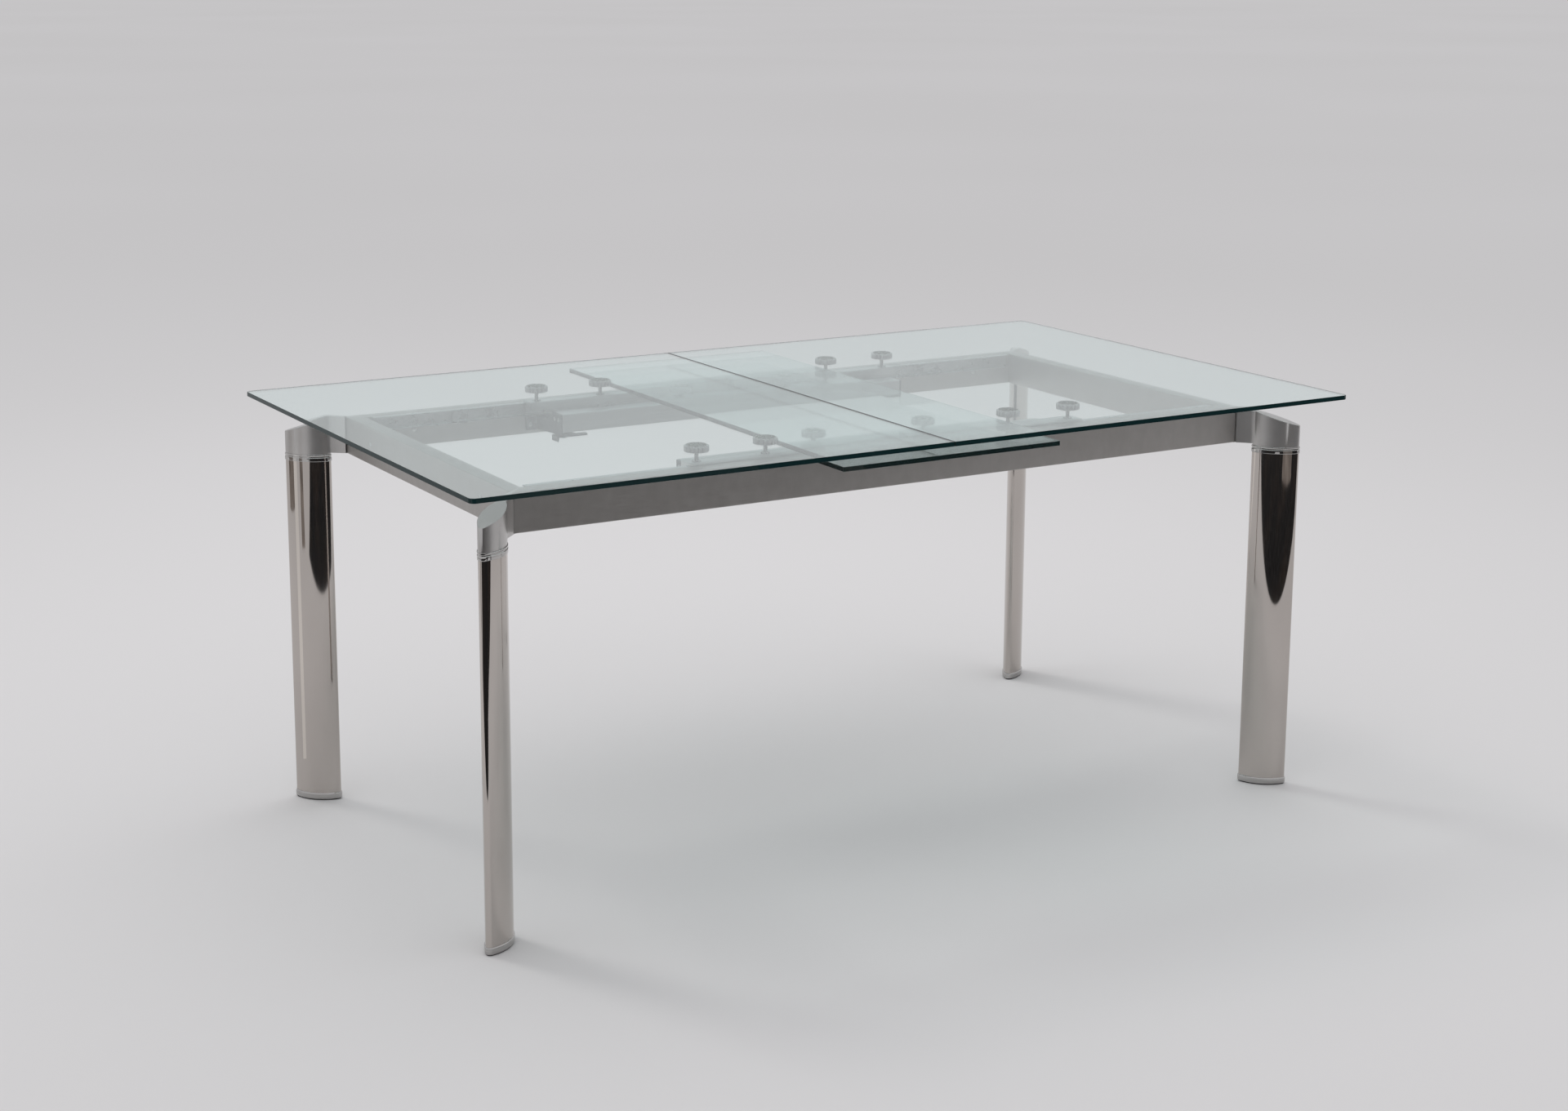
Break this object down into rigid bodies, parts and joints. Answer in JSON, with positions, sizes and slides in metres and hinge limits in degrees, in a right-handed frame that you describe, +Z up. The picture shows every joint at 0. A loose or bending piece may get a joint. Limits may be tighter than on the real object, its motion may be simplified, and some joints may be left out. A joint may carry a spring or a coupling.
{
  "type": "extendable dining table",
  "caption": "Glass dining table whose two sliding halves open on a metal frame so that a stored middle leaf can rise between them.",
  "frame": {"origin": "on the floor, under the middle of the closed table", "axes": "+X along the table's length towards its right end, +Y towards the rear long side, +Z up"},
  "size_m": [1.72, 1, 0.75],
  "materials": {
    "clear_glass": "polished clear float glass, green in the edges",
    "leg_chrome": "mirror-polished chrome",
    "trim_chrome": "bright chrome",
    "foot_rubber": "dark rubber",
    "cast_aluminium": "satin polished casting",
    "rail_aluminium": "fine satin metallic",
    "satin_aluminium": "satin anodised",
    "slide_steel": "zinc-plated",
    "pad_metal": "turned satin metal",
    "clear_cushion": "clear soft plastic",
    "bush_plastic": "grey nylon",
    "bracket_steel": "grey powder coat",
    "screw_steel": "plated steel"
  },
  "bodies": {
    "frame": {"beam_brackets_front": "bracket_steel", "beam_brackets_rear": "bracket_steel", "bracket_screws": "screw_steel", "casting_front_left": "cast_aluminium", "casting_front_right": "cast_aluminium", "casting_rear_left": "cast_aluminium", "casting_rear_right": "cast_aluminium", "foot_caps": "trim_chrome", "foot_pads": "foot_rubber", "knee_pivots": "bracket_steel", "latch_pins": "screw_steel", "leaf_beam_front": "satin_aluminium", "leaf_beam_rear": "satin_aluminium", "leg_collars": "trim_chrome", "leg_front_left": "leg_chrome", "leg_front_right": "leg_chrome", "leg_rear_left": "leg_chrome", "leg_rear_right": "leg_chrome", "leg_tie_rods": "screw_steel", "post_bushes": "bush_plastic", "rail_front": "rail_aluminium", "rail_left": "rail_aluminium", "rail_rear": "rail_aluminium", "rail_right": "rail_aluminium", "rail_screws": "screw_steel", "slide_channel_front_left": "slide_steel", "slide_channel_front_right": "slide_steel", "slide_channel_rear_left": "slide_steel", "slide_channel_rear_right": "slide_steel", "slide_screws": "screw_steel"},
    "half_left": {"glass_top_left": "clear_glass", "slide_bar_front_left": "satin_aluminium", "slide_bar_rear_left": "satin_aluminium", "slide_inners_left": "slide_steel", "glass_pads_left": "pad_metal", "pad_studs_left": "pad_metal", "pad_cushions_left": "clear_cushion"},
    "half_right": {"glass_top_right": "clear_glass", "slide_bar_front_right": "satin_aluminium", "slide_bar_rear_right": "satin_aluminium", "slide_inners_right": "slide_steel", "glass_pads_right": "pad_metal", "pad_studs_right": "pad_metal", "pad_cushions_right": "clear_cushion"},
    "mids_left": {"slide_mids_left": "slide_steel"},
    "mids_right": {"slide_mids_right": "slide_steel"},
    "leaf": {"glass_leaf": "clear_glass", "leaf_posts": "pad_metal", "leaf_pads": "pad_metal", "leaf_cushions": "clear_cushion"},
    "upper_arm_front_left": {"knee_upper_front_left": "bracket_steel"},
    "lower_arm_front_left": {"knee_lower_front_left": "bracket_steel"},
    "upper_arm_front_right": {"knee_upper_front_right": "bracket_steel"},
    "lower_arm_front_right": {"knee_lower_front_right": "bracket_steel"},
    "upper_arm_rear_left": {"knee_upper_rear_left": "bracket_steel"},
    "lower_arm_rear_left": {"knee_lower_rear_left": "bracket_steel"},
    "upper_arm_rear_right": {"knee_upper_rear_right": "bracket_steel"},
    "lower_arm_rear_right": {"knee_lower_rear_right": "bracket_steel"},
    "latch_front": {"latch_lever_front": "bracket_steel"},
    "latch_rear": {"latch_lever_rear": "bracket_steel"}
  },
  "joints": [
    {"name": "top_left_slide", "type": "slide", "parent": "frame", "child": "half_left", "axis": [-1, 0, 0], "range_m": [0, 0.25]},
    {"name": "top_right_slide", "type": "slide", "parent": "frame", "child": "half_right", "axis": [1, 0, 0], "range_m": [0, 0.25]},
    {"name": "mids_left_slide", "type": "slide", "parent": "frame", "child": "mids_left", "axis": [-1, 0, 0], "range_m": [0, 0.125]},
    {"name": "mids_right_slide", "type": "slide", "parent": "frame", "child": "mids_right", "axis": [1, 0, 0], "range_m": [0, 0.125]},
    {"name": "upper_arm_front_left_hinge", "type": "hinge", "parent": "frame", "child": "upper_arm_front_left", "pos_m": [-0.112, -0.2515, 0.693], "axis": [0, -1, 0], "range_deg": [0, 132.22]},
    {"name": "lower_arm_front_left_hinge", "type": "hinge", "parent": "upper_arm_front_left", "child": "lower_arm_front_left", "pos_m": [-0.12107, -0.2486, 0.683], "axis": [0, 1, 0], "range_deg": [0, 264.43]},
    {"name": "upper_arm_front_right_hinge", "type": "hinge", "parent": "frame", "child": "upper_arm_front_right", "pos_m": [0.112, -0.2515, 0.693], "axis": [0, -1, 0], "range_deg": [0, 132.22]},
    {"name": "lower_arm_front_right_hinge", "type": "hinge", "parent": "upper_arm_front_right", "child": "lower_arm_front_right", "pos_m": [0.10293, -0.2486, 0.683], "axis": [0, 1, 0], "range_deg": [0, 264.43]},
    {"name": "upper_arm_rear_left_hinge", "type": "hinge", "parent": "frame", "child": "upper_arm_rear_left", "pos_m": [-0.112, 0.2515, 0.693], "axis": [0, -1, 0], "range_deg": [0, 132.22]},
    {"name": "lower_arm_rear_left_hinge", "type": "hinge", "parent": "upper_arm_rear_left", "child": "lower_arm_rear_left", "pos_m": [-0.12107, 0.2486, 0.683], "axis": [0, 1, 0], "range_deg": [0, 264.43]},
    {"name": "upper_arm_rear_right_hinge", "type": "hinge", "parent": "frame", "child": "upper_arm_rear_right", "pos_m": [0.112, 0.2515, 0.693], "axis": [0, -1, 0], "range_deg": [0, 132.22]},
    {"name": "lower_arm_rear_right_hinge", "type": "hinge", "parent": "upper_arm_rear_right", "child": "lower_arm_rear_right", "pos_m": [0.10293, 0.2486, 0.683], "axis": [0, 1, 0], "range_deg": [0, 264.43]},
    {"name": "leaf_foot_hinge", "type": "hinge", "parent": "lower_arm_rear_left", "child": "leaf", "pos_m": [-0.112, 0.2475, 0.673], "axis": [0, -1, 0], "range_deg": [0, 132.22]},
    {"name": "latch_front_hinge", "type": "hinge", "parent": "frame", "child": "latch_front", "pos_m": [-0.354, -0.238, 0.6585], "axis": [0, 0, 1], "range_deg": [0, 50]},
    {"name": "latch_rear_hinge", "type": "hinge", "parent": "frame", "child": "latch_rear", "pos_m": [-0.354, 0.238, 0.6585], "axis": [0, 0, -1], "range_deg": [0, 50]}
  ],
  "couplings": [
    {"joint": "top_right_slide", "follows": "top_left_slide", "ratio": 1},
    {"joint": "mids_left_slide", "follows": "top_left_slide", "ratio": 0.5},
    {"joint": "mids_right_slide", "follows": "top_left_slide", "ratio": 0.5},
    {"joint": "upper_arm_front_left_hinge", "follows": "top_left_slide", "rad_per_m": 9.2297},
    {"joint": "lower_arm_front_left_hinge", "follows": "top_left_slide", "rad_per_m": 18.459},
    {"joint": "upper_arm_front_right_hinge", "follows": "top_left_slide", "rad_per_m": 9.2297},
    {"joint": "lower_arm_front_right_hinge", "follows": "top_left_slide", "rad_per_m": 18.459},
    {"joint": "upper_arm_rear_left_hinge", "follows": "top_left_slide", "rad_per_m": 9.2297},
    {"joint": "lower_arm_rear_left_hinge", "follows": "top_left_slide", "rad_per_m": 18.459},
    {"joint": "upper_arm_rear_right_hinge", "follows": "top_left_slide", "rad_per_m": 9.2297},
    {"joint": "lower_arm_rear_right_hinge", "follows": "top_left_slide", "rad_per_m": 18.459},
    {"joint": "leaf_foot_hinge", "follows": "top_left_slide", "rad_per_m": 9.2297}
  ]
}
